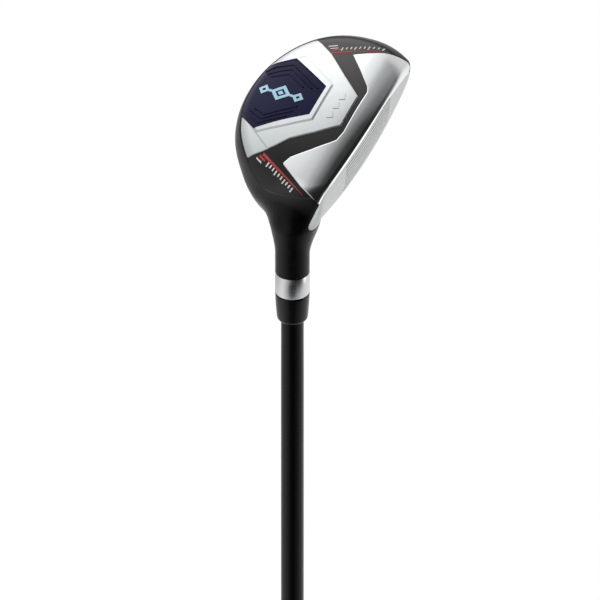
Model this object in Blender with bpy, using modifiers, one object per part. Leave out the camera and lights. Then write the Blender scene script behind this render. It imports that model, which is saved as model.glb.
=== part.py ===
"""Hybrid golf club, right-handed, 22 degrees of loft.

The shaft's axis is the world Z axis. The flat end of the grip is at z = 0 and the head is at the top.
+X points to the toe, -Y is the way the face looks, and +Y is the back of the head.

The head is drawn in its own frame, as it lies at address: a runs from the leading edge to the back,
b from the heel to the toe and c upwards from the ground. Its empty carries the lie angle.
Every length below is in millimetres and every object is made in metres.
"""

import bpy
import bmesh
import numpy as np
from math import cos, sin, pi, radians
from mathutils import Matrix, Vector

MM = 0.001
GAP = 0.3                       # clearance between pieces that touch
SEAL = 0.25                     # clearance between sleeves on the shaft
TURN_STEPS = 32                 # sides of a turned piece

# ---- driving dimensions of the club ----
GROUND_Z = 1003.0               # where the shaft's axis meets the ground, from the grip's end
LIE = radians(60.0)
LOFT = radians(22.0)
AXIS_A = 12.0                   # the shaft's axis lies this far behind the leading edge

# ---- head: outer surface ----
PLAN_CENTRE = (30.0, 38.0)      # a, b
# reach of the outline from its centre, every 30 degrees from the toe by way of the back and the heel;
# the last few lie in front of the face, which cuts them off
PLAN_REACH = (45.0, 43.0, 40.0, 36.5, 34.5, 35.5, 42.0, 46.0, 45.0, 45.0, 45.0, 48.0)
SOLE_LOW = (24.0, 34.0)         # a, b of the sole's lowest point
SOLE_RADII = (110.0, 180.0, 200.0)      # camber from front to back, towards the heel and towards the toe
BEVEL_A, BEVEL_RADIUS = 13.0, 26.0      # the sole turns up towards the leading edge from here
BEVEL_TOE_B, BEVEL_SPREAD = 45.0, 0.35  # the turned-up part grows wider towards the toe
CROWN_TOP = (10.0, 56.0, 40.0)  # a, b, c of the crown's highest point
CROWN_RADII = (67.0, 140.0)
SKIRT_ROUND = 9.0               # rounding between the sole and the skirt
CROWN_ROUND = 7.0               # rounding between the crown and the skirt
FACE_EDGE_ROUND = 2.0
FACE_FOOT = 3.0                 # height of the face plane over the leading edge
FACE_MIDDLE = (38.0, 16.0)      # b, and height up the face, of its flattest point
FACE_RADIUS = 300.0             # bulge and roll
HOSEL_R = 7.1
HOSEL_END = 36.4                # from the ground point, along the axis
HOSEL_FOOT = 9.0                # the hosel fades into the heel below this
HOSEL_FOOT_ROUND = 7.0
NECK_BLEND = 14.0
SPIGOT_R = 6.0
SPIGOT_END = 45.9
BEND = (14.0, 40.0)             # b, c of the line that the neck's sections turn about
CORE_START = (12.0, 32.1)       # a, and distance from the bend, of the neck's middle
CORE_HEEL = (28.0, 24.0)        # the same where the neck has become the head
CORE_TOE = (27.0, 20.0)         # a, c of the middle of the last section
TOE_B = 82.9                    # the last section, just inside the toe
SECTIONS = (7, 9, 20)           # on the hosel, around the neck, and to the toe
POINTS = 44                     # on each section
TURN_WEIGHT = 6.0               # millimetres that one radian of bend counts for, sharing out points

# ---- head: hollow ----
CAVITY_MIDDLE = (27.0, 42.0, 17.0)
CAVITY_HEEL_B = 7.0
CAVITY_ROUND = 5.0
SKIRT_WALL, SOLE_WALL, CROWN_WALL, FACE_WALL = 1.9, 3.2, 1.3, 2.6
BORE_R, BORE_FOOT = 5.5, 17.0

# ---- head: crown, face and sole pieces ----
CROWN_INSET = 9.0               # crown plate's edge, in from the outline
CROWN_FRONT_A = 20.5
CROWN_HEEL_B = 12.0
FACE_INSET = 3.6                # face plate's edge, in from the rim of the face
FACE_HEEL_B = 3.0
OUTLINE_MIDDLE_FACE = (42.0, 19.0)
SCORE_LINES, SCORE_PITCH, SCORE_WIDTH, SCORE_DEPTH = 8, 3.6, 0.9, 0.4
SCORE_B = (23.0, 59.0)
SCORE_FOOT = 6.5                # height up the face of the lowest score line
FRONT_REACH, REAR_REACH = 11.5, 16.0    # c up to which the front and rear pieces are cut from the skin
PLATE_PROUD, PLATE_SINK = 0.5, 0.5
SKIRT_LINE = 5.0                # rear plate's outer edge, in from the outline
FRONT_PLATE = [(27, 69), (12, 57.5), (10.5, 55), (9.2, 34), (11.2, 28), (25, 12), (12.5, 5.5), (7, 5),
               (5.5, 10), (5, 22), (5, 48), (7, 62), (9.5, 75.5), (15, 75.5), (19, 74)]
REAR_PLATE_FRONT = [(36.5, 14), (28, 23), (12, 36), (13, 52), (36, 66.5)]
REAR_PLATE_ARC = (31, 151)      # degrees about the outline's centre, toe to heel
BADGE_FRONT = [(47, 22), (26, 35.5), (27, 50), (50, 59.5)]
BADGE_ARC = (66, 113)
BADGE_SKIN = (-0.6, 0.1)        # badge's lower and upper faces, from the head's surface
TAPE_SKIN = (-1.15, -0.85)
BADGE_POCKET = -1.4
EMBLEM_MIDDLE = (45.0, 41.0)
EMBLEM_HALF = (12.0, 3.5)       # half its size along a and along b
EMBLEM_RISE = 0.45

# ---- weights and filler, in the hollow ----
WEIGHT_R, WEIGHT_TOP = 6.0, 9.0
WEIGHTS = {"rear_weight": (54.0, 38.0), "toe_weight": (30.0, 70.0), "heel_weight": (33.0, 15.5)}
GLUE_MIDDLE = (17.0, 42.0, 1.5)
GLUE_R = 7.0

# ---- shaft and its fittings ----
RING_END = 46.2
FERRULE_END = 59.3
FERRULE_TOP_R, FERRULE_FOOT_R = 7.05, 6.2
FERRULE_CHAMFER = 1.2
SHAFT_TIP = 19.6                # from the ground point, along the axis
SHAFT_BUTT_Z = 4.6
# z and outer radius: the butt, the mouth of the grip, the end of the plain taper and the straight tip
SHAFT_TAPER = [(SHAFT_BUTT_Z, 7.5), (267.0, 6.7), (800.0, 4.92), (925.0, 4.75)]
SHAFT_TIP_R = 4.7
SHAFT_WALL = 1.2
PIN_R, PIN_FLANGE, PIN_LENGTH = 3.1, 2.0, 24.0
EPOXY_WALL = 0.3
GRIP_END = 267.0
GRIP_BUTT_R, GRIP_MOUTH_R = 13.4, 9.6
GRIP_SHOULDER = 10.0            # length over which the end of the grip swells
TAPE_WALL = 0.3
GRIP_FLOOR = 3.2                # thickness of rubber over the shaft's butt
CAP_R, CAP_THICK = 8.0, 1.2

for old in list(bpy.data.objects):
    bpy.data.objects.remove(old)

club = bpy.data.collections.new("hybrid_golf_club")
cutters = bpy.data.collections.new("cutters")
for group in (club, cutters):
    bpy.context.scene.collection.children.link(group)


# ---------------------------------------------------------------- the head's surface

def catmull(values, t):
    """A smooth closed curve through evenly spaced values."""
    values = np.asarray(values, float)
    i = np.floor(t).astype(int)
    f = t - i
    p0, p1, p2, p3 = [values[(i + k) % len(values)] for k in (-1, 0, 1, 2)]
    return 0.5 * (2 * p1 + (p2 - p0) * f + (2 * p0 - 5 * p1 + 4 * p2 - p3) * f ** 2
                  + (3 * p1 - p0 - 3 * p2 + p3) * f ** 3)


def plan_reach(angle):
    """Distance from the outline's centre to the outline."""
    return catmull(PLAN_REACH, np.asarray(angle) % (2 * pi) / (2 * pi) * len(PLAN_REACH))


def both(x, y, r):
    """Where two shapes overlap, with their shared edge rounded to radius r."""
    return np.minimum(-r, np.maximum(x, y)) + np.hypot(np.maximum(r + x, 0), np.maximum(r + y, 0))


def either(x, y, r):
    """Two shapes joined, with a fillet of radius r."""
    return np.maximum(r, np.minimum(x, y)) - np.hypot(np.maximum(r - x, 0), np.maximum(r - y, 0))


def plan(a, b):
    da, db = a - PLAN_CENTRE[0], b - PLAN_CENTRE[1]
    angle = np.arctan2(da, db)
    reach, step = plan_reach(angle), 1e-3
    slope = (plan_reach(angle + step) - reach) / step / reach
    return (np.hypot(da, db) - reach) / np.sqrt(1 + slope ** 2)


def sole(a, b, c):
    across = np.where(b < SOLE_LOW[1], SOLE_RADII[1], SOLE_RADII[2])
    height = (a - SOLE_LOW[0]) ** 2 / (2 * SOLE_RADII[0]) + (b - SOLE_LOW[1]) ** 2 / (2 * across)
    bevel = BEVEL_A + BEVEL_SPREAD * np.maximum(0, b - BEVEL_TOE_B)
    return height + np.maximum(0, bevel - a) ** 2 / (2 * BEVEL_RADIUS) - c


def crown(a, b, c):
    drop = (a - CROWN_TOP[0]) ** 2 / (2 * CROWN_RADII[0]) + (b - CROWN_TOP[1]) ** 2 / (2 * CROWN_RADII[1])
    return c - CROWN_TOP[2] + drop


def face(a, b, c):
    up = a * sin(LOFT) + (c - FACE_FOOT) * cos(LOFT)
    curve = ((b - FACE_MIDDLE[0]) ** 2 + (up - FACE_MIDDLE[1]) ** 2) / (2 * FACE_RADIUS)
    return (c - FACE_FOOT) * sin(LOFT) - a * cos(LOFT) + curve


def hosel(a, b, c):
    along = c * sin(LIE) - b * cos(LIE)
    tube = np.hypot(a - AXIS_A, b * sin(LIE) + c * cos(LIE)) - HOSEL_R
    return both(tube, HOSEL_FOOT - along, HOSEL_FOOT_ROUND)


def skin(a, b, c):
    """Signed distance, more or less, to the head's outer surface."""
    body = both(plan(a, b), sole(a, b, c), SKIRT_ROUND)
    body = both(body, crown(a, b, c), CROWN_ROUND)
    body = both(body, face(a, b, c), FACE_EDGE_ROUND)
    return either(body, hosel(a, b, c), NECK_BLEND)


def hollow(a, b, c):
    """The same for the space inside the head."""
    space = both(plan(a, b) + SKIRT_WALL, sole(a, b, c) + SOLE_WALL, CAVITY_ROUND)
    space = both(space, crown(a, b, c) + CROWN_WALL, CAVITY_ROUND)
    space = both(space, face(a, b, c) + FACE_WALL, 1.0)
    return both(space, CAVITY_HEEL_B - b, 2.0)


def first_crossing(field, start, ways, reach, level=0.0, samples=160):
    """Distance along each ray at which a field first rises to the level."""
    def at(t):
        place = start + t[..., None] * ways
        return field(place[..., 0], place[..., 1], place[..., 2]) - level
    steps = np.linspace(0.0, reach, samples)
    values = np.stack([at(np.full(len(ways), t)) for t in steps], axis=1)
    k = np.argmax(values > 0, axis=1)
    low, high = steps[k - 1], steps[k]
    for _ in range(24):
        middle = (low + high) / 2
        outside = at(middle) > 0
        high = np.where(outside, middle, high)
        low = np.where(outside, low, middle)
    return (low + high) / 2


def share_out(points, count):
    """Points spread round a closed line, closer together where it bends."""
    after = np.roll(points, -1, axis=0)
    run = after - points
    length = np.linalg.norm(run, axis=1)
    way = run / length[:, None]
    bend = np.arccos(np.clip((way * np.roll(way, 1, axis=0)).sum(axis=1), -1, 1))
    weight = length + TURN_WEIGHT * (bend + np.roll(bend, -1)) / 2
    place = np.concatenate([[0], np.cumsum(weight)])
    wanted = np.arange(count) / count * place[-1]
    closed = np.concatenate([points, points[:1]])
    return np.stack([np.interp(wanted, place, closed[:, axis]) for axis in range(3)], axis=1)


def section_frames(level):
    """Middle and upward direction of each section, from the hosel's end round the neck to the toe."""
    on_hosel, round_neck, to_toe = SECTIONS
    axis_up = np.array([0, sin(LIE), cos(LIE)])
    bend_along = BEND[1] * sin(LIE) - BEND[0] * cos(LIE)
    frames = []
    for along in np.linspace(HOSEL_END, bend_along, on_hosel, endpoint=False):
        frames.append((np.array([AXIS_A, -along * cos(LIE), along * sin(LIE)]), axis_up))
    for share in np.linspace(0, 1, round_neck, endpoint=False):
        turn = pi / 2 - LIE + share * LIE
        up = np.array([0, cos(turn), sin(turn)])
        ease = share ** 2 * (3 - 2 * share)
        a, far = [s + (e - s) * ease for s, e in zip(CORE_START, CORE_HEEL)]
        frames.append((np.array([a, *BEND]) - far * up, up))
    heel_c = BEND[1] - CORE_HEEL[1]
    for share in np.linspace(0, 1, to_toe):
        b = BEND[0] + (TOE_B + level - BEND[0]) * sin(share * pi / 2)
        a, c = CORE_HEEL[0] + (CORE_TOE[0] - CORE_HEEL[0]) * share, heel_c + (CORE_TOE[1] - heel_c) * share
        frames.append((np.array([a, b, c]), np.array([0, 0, 1.0])))
    return frames


def section(middle, up, level):
    angles = np.linspace(0, 2 * pi, 240, endpoint=False)
    ways = np.outer(np.cos(angles), [1, 0, 0]) + np.outer(np.sin(angles), up)
    far = first_crossing(skin, middle, ways, 75.0, level)
    return share_out(middle + far[:, None] * ways, POINTS)


def circle_section(along, radius):
    """A round section square to the hosel."""
    turn = np.arange(POINTS) / POINTS * 2 * pi
    middle = np.array([AXIS_A, -along * cos(LIE), along * sin(LIE)])
    up = np.array([0, sin(LIE), cos(LIE)])
    return middle + radius * (np.outer(np.cos(turn), [1, 0, 0]) + np.outer(np.sin(turn), up))


# ---------------------------------------------------------------- making objects

def material(name, colour, roughness, metallic):
    made = bpy.data.materials.new(name)
    made.use_nodes = True
    shader = made.node_tree.nodes["Principled BSDF"]
    shader.inputs["Base Color"].default_value = (*colour, 1)
    shader.inputs["Roughness"].default_value = roughness
    shader.inputs["Metallic"].default_value = metallic
    return made


head_frame = bpy.data.objects.new("head_frame", None)
club.objects.link(head_frame)
head_frame.matrix_world = Matrix((
    (0, sin(LIE), cos(LIE), 0),
    (1, 0, 0, -AXIS_A * MM),
    (0, cos(LIE), -sin(LIE), GROUND_Z * MM),
    (0, 0, 0, 1)))
bpy.context.view_layer.update()


def add(name, mesh, look=None, parent=None):
    """A piece when it has a look, and otherwise a cutter."""
    made = bpy.data.objects.new(name, mesh)
    (club if look else cutters).objects.link(made)
    made.parent = parent
    if look:
        mesh.materials.clear()
        mesh.materials.append(material(name, *look))
        mesh.set_sharp_from_angle(angle=radians(35))
    else:
        made.hide_render = True
        made.display_type = "WIRE"
    return made


def finish(bm, name):
    bmesh.ops.recalc_face_normals(bm, faces=bm.faces)
    mesh = bpy.data.meshes.new(name)
    bm.to_mesh(mesh)
    bm.free()
    mesh.shade_smooth()
    return mesh


def loft(name, rings, pole):
    """Skin rings of points, with a flat cap on the first and a point after the last."""
    bm = bmesh.new()
    rows = [[bm.verts.new(Vector(p) * MM) for p in ring] for ring in rings]
    for row, after in zip(rows, rows[1:]):
        for i in range(POINTS):
            j = (i + 1) % POINTS
            bm.faces.new((row[i], row[j], after[j], after[i]))
    bm.faces.new(rows[0])
    tip = bm.verts.new(Vector(pole) * MM)
    for i in range(POINTS):
        bm.faces.new((rows[-1][i], rows[-1][(i + 1) % POINTS], tip))
    return finish(bm, name)


def head_mesh(name, level):
    """The head's outer surface, moved out by the level, without the hosel's spigot."""
    rings = [section(middle, up, level) for middle, up in section_frames(level)]
    pole = (np.mean(rings[-1][:, 0]), TOE_B + 0.1 + level, np.mean(rings[-1][:, 2]))
    return loft(name, rings, pole)


def prism(name, outline, low, high, turn=None, look=None):
    """An outline in the head's a-b plane, or in a turned plane, drawn out from low to high."""
    bm = bmesh.new()
    base = bm.faces.new([bm.verts.new(Vector((x, y, low)) * MM) for x, y in outline])
    grown = bmesh.ops.extrude_face_region(bm, geom=[base])
    top = [v for v in grown["geom"] if isinstance(v, bmesh.types.BMVert)]
    bmesh.ops.translate(bm, verts=top, vec=Vector((0, 0, high - low)) * MM)
    if turn:
        bm.transform(turn)
    return add(name, finish(bm, name), look, head_frame)


def grow(outline, distance):
    """Move each side of a closed outline outwards."""
    points = [Vector(p) for p in outline]
    area = sum(p.cross(q) for p, q in zip(points, points[1:] + points[:1]))
    side = distance if area > 0 else -distance
    grown = []
    for before, here, after in zip(points[-1:] + points[:-1], points, points[1:] + points[:1]):
        first, second = (here - before).normalized(), (after - here).normalized()
        normals = [Vector((way.y, -way.x)) for way in (first, second)]
        grown.append(tuple(here + side * (normals[0] + normals[1]) / (1 + normals[0].dot(normals[1]))))
    return grown


def cut(target, tool, operation="DIFFERENCE"):
    step = target.modifiers.new(operation.lower() + "_" + tool.name, "BOOLEAN")
    step.operation = operation
    step.solver = "EXACT"
    step.object = tool


def turned(name, profile, look=None):
    """A profile of z and radius, listed so that its outer side runs from high z to low z."""
    bm = bmesh.new()
    corners = [bm.verts.new(Vector((r, 0, z)) * MM) for z, r in profile]
    for start, end in zip(corners, corners[1:]):
        bm.edges.new((start, end))
    if min(profile[0][1], profile[-1][1]) > 0:
        bm.edges.new((corners[-1], corners[0]))
    mesh = bpy.data.meshes.new(name)
    bm.to_mesh(mesh)
    bm.free()
    made = add(name, mesh, look)
    screw = made.modifiers.new("turn", "SCREW")
    screw.steps = screw.render_steps = TURN_STEPS
    screw.use_merge_vertices = True
    screw.merge_threshold = 0.00001
    screw.use_smooth_shade = True
    return made


def at(along):
    """World z of a distance from the ground point along the shaft."""
    return GROUND_Z - along


# ---------------------------------------------------------------- looks: colour, roughness, metallic

BLACK_PAINT = ((0.010, 0.010, 0.011), 0.35, 0.0)
CROWN_PAINT = ((0.008, 0.008, 0.009), 0.25, 0.0)
POLISHED_STEEL = ((0.62, 0.63, 0.64), 0.18, 1.0)
SATIN_STEEL = ((0.78, 0.80, 0.80), 0.40, 1.0)
BRUSHED_STEEL = ((0.50, 0.51, 0.51), 0.38, 1.0)
NAVY = ((0.009, 0.010, 0.045), 0.30, 0.0)
PALE_BLUE = ((0.45, 0.68, 0.92), 0.40, 0.0)
FOAM = ((0.10, 0.10, 0.10), 0.95, 0.0)
DARK_WEIGHT = ((0.22, 0.22, 0.23), 0.45, 1.0)
BRASS = ((0.65, 0.45, 0.15), 0.35, 1.0)
HOT_MELT = ((0.75, 0.66, 0.42), 0.60, 0.0)
EPOXY = ((0.55, 0.50, 0.38), 0.50, 0.0)
GLOSS_BLACK = ((0.005, 0.005, 0.005), 0.15, 0.0)
RUBBER = ((0.018, 0.018, 0.018), 0.75, 0.0)
PAPER_TAPE = ((0.60, 0.57, 0.48), 0.90, 0.0)


# ---------------------------------------------------------------- the hollow head

def cavity(name, level):
    """A ball drawn out until it meets the walls of the hollow, moved in by the level."""
    bm = bmesh.new()
    bmesh.ops.create_uvsphere(bm, u_segments=32, v_segments=18, radius=1.0)
    ways = np.array([v.co for v in bm.verts])
    ways /= np.linalg.norm(ways, axis=1)[:, None]
    middle = np.array(CAVITY_MIDDLE)
    far = first_crossing(hollow, middle, ways, 60.0, level)
    for vert, way, distance in zip(bm.verts, ways, far):
        vert.co = Vector(middle + way * distance) * MM
    return add(name, finish(bm, name), None, head_frame)


def contour(field, middle, count, reach):
    """A closed outline about a middle, where a flat field crosses zero."""
    turns = np.linspace(0, 2 * pi, count, endpoint=False)
    ways = np.stack([np.cos(turns), np.sin(turns), np.zeros(count)], axis=1)
    far = first_crossing(lambda x, y, z: field(x, y), np.array([*middle, 0.0]), ways, reach)
    return [(middle[0] + r * cos(t), middle[1] + r * sin(t)) for r, t in zip(far, turns)]


def crown_outline(inset):
    def edge(a, b):
        rim = both(plan(a, b) + CROWN_INSET + inset, CROWN_FRONT_A + inset - a, 4.0)
        return both(rim, CROWN_HEEL_B + inset - b, 6.0)
    return contour(edge, (34.0, 42.0), 40, 60.0)


def face_place(b, up):
    """Head coordinates of a place on the face's flat plane."""
    return up * sin(LOFT), b, FACE_FOOT + up * cos(LOFT)


def face_outline(inset):
    def edge(b, up):
        a, b, c = face_place(b, up)
        rim = both(sole(a, b, c), crown(a, b, c), CROWN_ROUND)
        rim = both(rim, plan(a, b), SKIRT_ROUND) + FACE_INSET + inset
        return both(rim, FACE_HEEL_B + inset - b, 10.0)
    return contour(edge, OUTLINE_MIDDLE_FACE, 44, 60.0)


# x along b, y up the face, z into the head
FACE_TURN = Matrix(((0, sin(LOFT), cos(LOFT), 0), (1, 0, 0, 0),
                    (0, cos(LOFT), -sin(LOFT), FACE_FOOT * MM), (0, 0, 0, 1)))


def skirt_arc(start, end, count):
    """Points along the skirt line, from one angle to another."""
    points = []
    for angle in np.radians(np.linspace(start, end, count)):
        reach = float(plan_reach(angle)) - SKIRT_LINE
        points.append((PLAN_CENTRE[0] + reach * sin(angle), PLAN_CENTRE[1] + reach * cos(angle)))
    return points


rear_outline = REAR_PLATE_FRONT + skirt_arc(*REAR_PLATE_ARC, 9)
badge_outline = BADGE_FRONT + skirt_arc(*BADGE_ARC, 5)

hollow_tool = cavity("hollow", 0.0)
hollow_lining = cavity("hollow_lining", -GAP)
level_tools = {}


def skin_at(level):
    """The head's surface moved out by the level, as a cutter that several pieces share."""
    if level not in level_tools:
        name = "skin_%+.2f" % level
        level_tools[level] = add(name, head_mesh(name, level), None, head_frame)
    return level_tools[level]


def layer(name, outline, reach, low, high, look):
    """The part of the head's skin between two levels, inside an outline seen from below."""
    made = prism(name, outline, -6.0, reach, None, look)
    cut(made, skin_at(high), "INTERSECT")
    cut(made, skin_at(low))
    return made


def make_body():
    rings = [circle_section(SPIGOT_END, SPIGOT_R - 0.4), circle_section(SPIGOT_END - 0.4, SPIGOT_R),
             circle_section(HOSEL_END, SPIGOT_R), circle_section(HOSEL_END, HOSEL_R - 0.25)]
    rings += [section(middle, up, 0.0) for middle, up in section_frames(0.0)][1:]
    rings.insert(4, circle_section(HOSEL_END - 0.25, HOSEL_R))
    pole = (np.mean(rings[-1][:, 0]), TOE_B + 0.1, np.mean(rings[-1][:, 2]))
    body = add("head_body", loft("head_body", rings, pole), BLACK_PAINT, head_frame)
    bore = turned("bore", [(at(BORE_FOOT), 0), (at(BORE_FOOT), BORE_R),
                           (at(SPIGOT_END + 5), BORE_R), (at(SPIGOT_END + 5), 0)])
    crown_hole = prism("crown_hole", crown_outline(0.0), 15.0, 50.0)
    face_hole = prism("face_hole", face_outline(0.0), -6.0, 6.0, FACE_TURN)
    front_pocket = prism("front_pocket", grow(FRONT_PLATE, GAP), -6.0, FRONT_REACH + GAP)
    rear_pocket = prism("rear_pocket", grow(rear_outline, GAP), -6.0, REAR_REACH + GAP)
    badge_pocket = prism("badge_pocket", grow(badge_outline, GAP), -6.0, REAR_REACH + GAP)
    for pocket in (front_pocket, rear_pocket):
        cut(pocket, skin_at(-PLATE_SINK - GAP))
    cut(badge_pocket, skin_at(BADGE_POCKET))
    for tool in (hollow_tool, bore, crown_hole, face_hole, front_pocket, rear_pocket, badge_pocket):
        cut(body, tool)
    return body


def make_crown_plate():
    plate = prism("crown_plate", crown_outline(GAP), 15.0, 50.0, None, CROWN_PAINT)
    cut(plate, skin_at(0.0), "INTERSECT")
    cut(plate, hollow_tool)


def make_face_plate():
    plate = prism("face_plate", face_outline(GAP), -6.0, 6.0, FACE_TURN, BRUSHED_STEEL)
    cut(plate, skin_at(0.0), "INTERSECT")
    cut(plate, hollow_tool)
    for i in range(SCORE_LINES):
        foot = SCORE_FOOT + i * SCORE_PITCH
        ends = [(SCORE_B[0], foot), (SCORE_B[1], foot),
                (SCORE_B[1], foot + SCORE_WIDTH), (SCORE_B[0], foot + SCORE_WIDTH)]
        cut(plate, prism("score_line_%d" % i, ends, -3.0, SCORE_DEPTH, FACE_TURN))


def make_sole_pieces():
    layer("sole_front_plate", FRONT_PLATE, FRONT_REACH, -PLATE_SINK, PLATE_PROUD, POLISHED_STEEL)
    rear = layer("sole_rear_plate", rear_outline, REAR_REACH, -PLATE_SINK, PLATE_PROUD, SATIN_STEEL)
    cut(rear, prism("badge_window", grow(badge_outline, GAP), -6.0, REAR_REACH + GAP))
    layer("sole_badge", badge_outline, REAR_REACH, *BADGE_SKIN, NAVY)
    layer("badge_tape", grow(badge_outline, -1.5), REAR_REACH, *TAPE_SKIN, FOAM)


def make_emblem():
    """A generic raised mark on the badge: a lozenge."""
    a, b = EMBLEM_MIDDLE
    half_a, half_b = EMBLEM_HALF
    outline = [(a - half_a, b), (a, b + half_b), (a + half_a, b), (a, b - half_b)]
    low = BADGE_SKIN[1] + GAP
    layer("badge_emblem", outline, REAR_REACH, low, low + EMBLEM_RISE, PALE_BLUE)


def make_inner_pieces():
    for name, (a, b) in WEIGHTS.items():
        rim = [(a + WEIGHT_R * cos(t), b + WEIGHT_R * sin(t)) for t in np.arange(20) / 20 * 2 * pi]
        weight = prism(name, rim, -6.0, WEIGHT_TOP, None, DARK_WEIGHT)
        cut(weight, hollow_lining, "INTERSECT")
    bm = bmesh.new()
    bmesh.ops.create_uvsphere(bm, u_segments=20, v_segments=12, radius=GLUE_R * MM)
    bmesh.ops.translate(bm, verts=bm.verts, vec=Vector(GLUE_MIDDLE) * MM)
    glue = add("damping_glue", finish(bm, "damping_glue"), HOT_MELT, head_frame)
    cut(glue, hollow_lining, "INTERSECT")


# ---------------------------------------------------------------- the shaft and its fittings

def shaft_radius(z):
    places, radii = zip(*SHAFT_TAPER)
    return float(np.interp(z, places, radii))


def make_shaft():
    tip = at(SHAFT_TIP)
    outer = [(tip, SHAFT_TIP_R - 0.3), (tip - 0.3, SHAFT_TIP_R)] + SHAFT_TAPER[::-1]
    inner = [(z, r - SHAFT_WALL) for z, r in SHAFT_TAPER] + [(tip, SHAFT_TIP_R - SHAFT_WALL)]
    turned("shaft", outer + inner, GLOSS_BLACK)


def make_fittings():
    flange = at(SHAFT_TIP) + GAP
    turned("tip_pin", [(flange + PIN_FLANGE, 0), (flange + PIN_FLANGE, SHAFT_TIP_R), (flange, SHAFT_TIP_R),
                       (flange, PIN_R), (flange - PIN_LENGTH, PIN_R), (flange - PIN_LENGTH, 0)], BRASS)
    inside = SHAFT_TIP_R + SEAL
    top, foot = at(SHAFT_TIP), at(SPIGOT_END)
    turned("shaft_epoxy", [(top, inside), (top, inside + EPOXY_WALL), (foot, inside + EPOXY_WALL),
                           (foot, inside)], EPOXY)
    top, foot = at(HOSEL_END) - GAP, at(RING_END)
    bore, outer = SPIGOT_R + SEAL, HOSEL_R
    turned("hosel_ring", [(top, bore), (top, outer - 0.2), (top - 0.2, outer), (foot + 0.2, outer),
                          (foot, outer - 0.2), (foot, bore)], POLISHED_STEEL)
    top, foot = at(RING_END) - GAP, at(FERRULE_END)
    turned("ferrule", [(top, inside), (top, FERRULE_TOP_R), (foot + FERRULE_CHAMFER, FERRULE_FOOT_R),
                       (foot, inside + 0.3), (foot, inside)], GLOSS_BLACK)


def make_grip():
    stations = np.linspace(GRIP_END - 1.0, SHAFT_BUTT_Z + 1.0, 5)
    outer = [(z, shaft_radius(z) + SEAL + TAPE_WALL) for z in stations]
    inner = [(z, shaft_radius(z) + SEAL) for z in stations[::-1]]
    turned("grip_tape", outer + inner, PAPER_TAPE)

    floor = CAP_THICK + GRIP_FLOOR - GAP
    sleeve = [(GRIP_END, shaft_radius(GRIP_END) + 2 * SEAL + TAPE_WALL), (GRIP_END, GRIP_MOUTH_R - 0.8),
              (GRIP_END - 0.8, GRIP_MOUTH_R)]
    for share in (0.3, 0.6, 0.85):
        z = GRIP_END * (1 - share)
        swell = share ** 1.5
        sleeve.append((z, GRIP_MOUTH_R + (GRIP_BUTT_R - 0.9 - GRIP_MOUTH_R) * swell))
    sleeve += [(GRIP_SHOULDER, GRIP_BUTT_R - 0.4), (5.0, GRIP_BUTT_R), (1.5, GRIP_BUTT_R),
               (0.4, GRIP_BUTT_R - 0.6), (0, GRIP_BUTT_R - 1.6)]
    sleeve += [(0, CAP_R + GAP), (CAP_THICK + GAP, CAP_R + GAP), (CAP_THICK + GAP, 0)]
    lining = [(floor, 0), (floor, shaft_radius(SHAFT_BUTT_Z) + 2 * SEAL + TAPE_WALL)]
    turned("grip_sleeve", lining + sleeve, RUBBER)
    turned("grip_cap", [(CAP_THICK, 0), (CAP_THICK, CAP_R), (0.3, CAP_R), (0, CAP_R - 0.3), (0, 0)], RUBBER)


make_body()
make_crown_plate()
make_face_plate()
make_sole_pieces()
make_emblem()
make_inner_pieces()
make_shaft()
make_fittings()
make_grip()
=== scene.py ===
"""Hybrid golf club: detailed surfaces, finishes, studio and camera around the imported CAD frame.

The head is drawn in its own frame, in millimetres: a runs from the leading edge to the back, b from the
heel to the toe and c upwards from the ground. HEAD turns it into the frame of the CAD model.
"""
import bmesh
import bpy
import numpy as np
from math import cos, sin, pi, radians
from mathutils import Matrix, Vector


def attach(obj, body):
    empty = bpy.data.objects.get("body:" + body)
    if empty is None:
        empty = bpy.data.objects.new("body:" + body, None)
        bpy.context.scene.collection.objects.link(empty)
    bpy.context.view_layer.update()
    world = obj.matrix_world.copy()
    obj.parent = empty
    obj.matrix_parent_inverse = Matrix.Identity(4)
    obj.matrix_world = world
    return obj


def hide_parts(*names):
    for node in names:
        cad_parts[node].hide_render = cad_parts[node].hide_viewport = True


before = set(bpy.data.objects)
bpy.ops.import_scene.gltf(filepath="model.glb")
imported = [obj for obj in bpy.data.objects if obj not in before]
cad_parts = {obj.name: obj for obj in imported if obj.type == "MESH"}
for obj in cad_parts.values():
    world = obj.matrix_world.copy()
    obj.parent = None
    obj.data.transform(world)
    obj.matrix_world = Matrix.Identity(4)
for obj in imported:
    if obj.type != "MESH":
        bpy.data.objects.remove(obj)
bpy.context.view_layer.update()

MM = 0.001
LIE = radians(60.0)
LOFT = radians(22.0)
GROUND_Z = 1003.0  # where the shaft's axis meets the ground, from the grip's end
AXIS_A = 12.0
HEAD = Matrix(((0, sin(LIE), cos(LIE), 0), (1, 0, 0, -AXIS_A * MM),
               (0, cos(LIE), -sin(LIE), GROUND_Z * MM), (0, 0, 0, 1)))

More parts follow.
